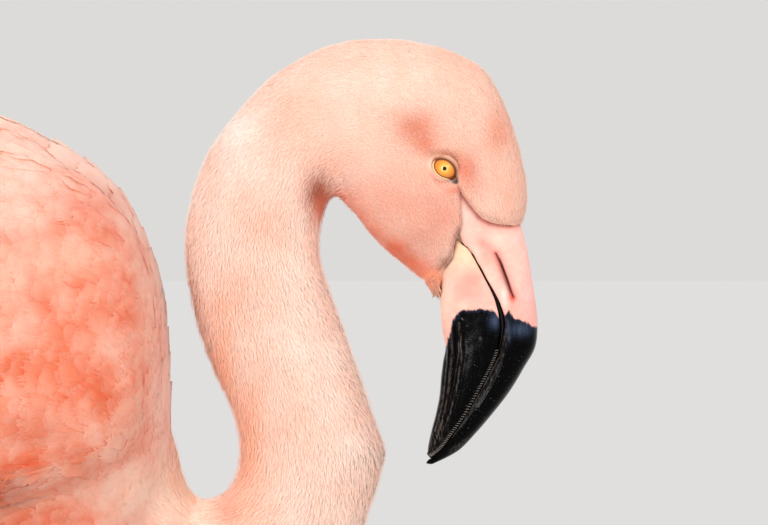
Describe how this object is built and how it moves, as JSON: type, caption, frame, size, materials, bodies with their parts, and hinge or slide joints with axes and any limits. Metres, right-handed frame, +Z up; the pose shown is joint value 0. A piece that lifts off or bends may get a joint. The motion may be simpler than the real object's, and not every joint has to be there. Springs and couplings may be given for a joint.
{
  "type": "chilean flamingo model",
  "caption": "Life-size still model of a standing flamingo, neck drawn back in an S, head lowered, bent bill pointing down, wings folded, both webbed feet flat on the floor.",
  "frame": {"origin": "on the floor, under the middle of the model's length and in its middle plane", "axes": "+X is the way the bird faces, +Y is its left, +Z is up"},
  "size_m": [0.6103, 0.2104, 0.6765],
  "materials": {
    "plumage": "soft matte feathers, pale salmon pink on neck and head, deeper salmon on the body",
    "wing_plumage": "soft matte feathers, salmon pink with deeper coral patches",
    "flight_feathers": "black flight feathers with a faint gloss",
    "bill_upper": "pale pink satin horn, glossy black beyond the bend",
    "bill_lower": "glossy black horn, pale pink at the base",
    "iris": "wet yellow iris with a small black pupil",
    "leg_skin": "satin grey-pink scaled skin",
    "joint_skin": "satin rose-red scaled skin",
    "claw_horn": "dark satin horn"
  },
  "bodies": {
    "root": {"trunk": "plumage", "neck_lower": "plumage", "neck_middle": "plumage", "neck_upper": "plumage", "head": "plumage", "bill_upper": "bill_upper", "bill_lower": "bill_lower", "tail": "plumage", "eye_left": "iris", "wing_left": "wing_plumage", "flight_left": "flight_feathers", "thigh_left": "plumage", "shank_left": "leg_skin", "ankle_left": "joint_skin", "tarsus_left": "leg_skin", "foot_left": "joint_skin", "claw_inner_left": "claw_horn", "claw_middle_left": "claw_horn", "claw_outer_left": "claw_horn", "claw_hind_left": "claw_horn", "eye_right": "iris", "wing_right": "wing_plumage", "flight_right": "flight_feathers", "thigh_right": "plumage", "shank_right": "leg_skin", "ankle_right": "joint_skin", "tarsus_right": "leg_skin", "foot_right": "joint_skin", "claw_inner_right": "claw_horn", "claw_middle_right": "claw_horn", "claw_outer_right": "claw_horn", "claw_hind_right": "claw_horn"}
  },
  "joints": []
}
